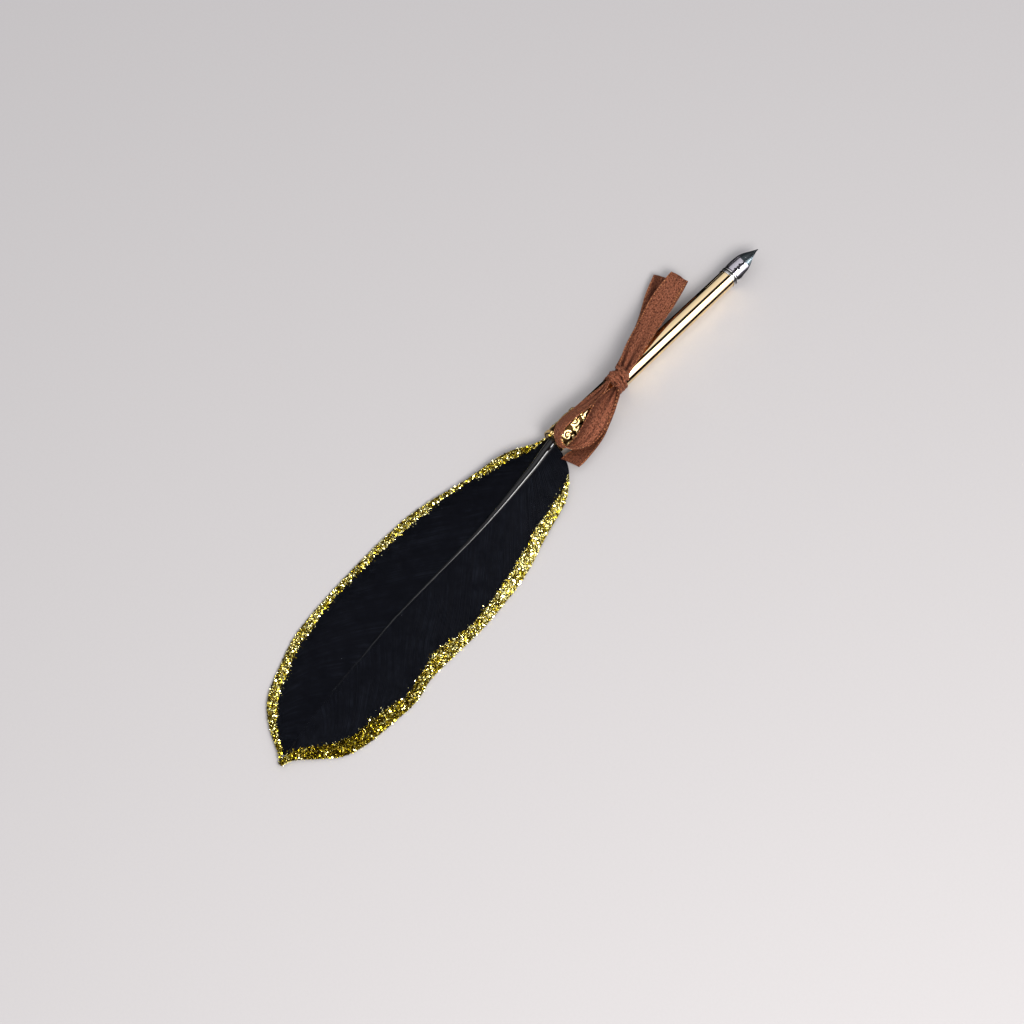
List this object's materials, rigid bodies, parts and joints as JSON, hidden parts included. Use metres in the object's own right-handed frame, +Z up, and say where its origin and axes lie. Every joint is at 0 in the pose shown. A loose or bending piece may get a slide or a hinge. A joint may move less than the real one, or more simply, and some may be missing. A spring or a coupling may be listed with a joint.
{
  "type": "quill pen",
  "caption": "Feather dip pen: polished tube with a pull-out steel nib, a filigree sleeve, a black feather with a glitter edge, and a ribbon bow.",
  "frame": {"origin": "middle of the footprint, on the table the pen lies on", "axes": "+X towards the nib's tip, +Y towards the feather's left edge, +Z up"},
  "size_m": [0.2494, 0.0512, 0.0139],
  "materials": {
    "nib_steel": "polished, with dark engraved ornament and blued tines",
    "core_rubber": "matt",
    "clamp_steel": "bright spring steel",
    "ring_chrome": "polished",
    "barrel_gold": "mirror-polished pale gold plating",
    "socket_brass": "turned",
    "filigree_gold": "cast scroll relief, polished high spots over dark recesses",
    "quill_black": "glossy dyed quill",
    "vane_black": "dyed feather barbs with a faint sheen",
    "glitter_gold": "coarse glued glitter",
    "ribbon_satin": "fine woven satin with stitched selvedges"
  },
  "bodies": {
    "pen": {"nib_core": "core_rubber", "nib_clamp": "clamp_steel", "mouth_ring": "ring_chrome", "barrel": "barrel_gold", "feather_socket": "socket_brass", "filigree_sleeve": "filigree_gold", "feather_shaft": "quill_black", "vane_left": "vane_black", "vane_right": "vane_black", "trim_left": "glitter_gold", "trim_right": "glitter_gold", "ribbon_wrap": "ribbon_satin", "ribbon_knot": "ribbon_satin", "loop_back": "ribbon_satin", "tail_back": "ribbon_satin", "loop_front": "ribbon_satin", "tail_front": "ribbon_satin"},
    "nib": {"nib": "nib_steel"}
  },
  "joints": [
    {"name": "nib_slide", "type": "slide", "parent": "pen", "child": "nib", "axis": [0.9999, 0, -0.0112], "range_m": [0, 0.016]}
  ]
}
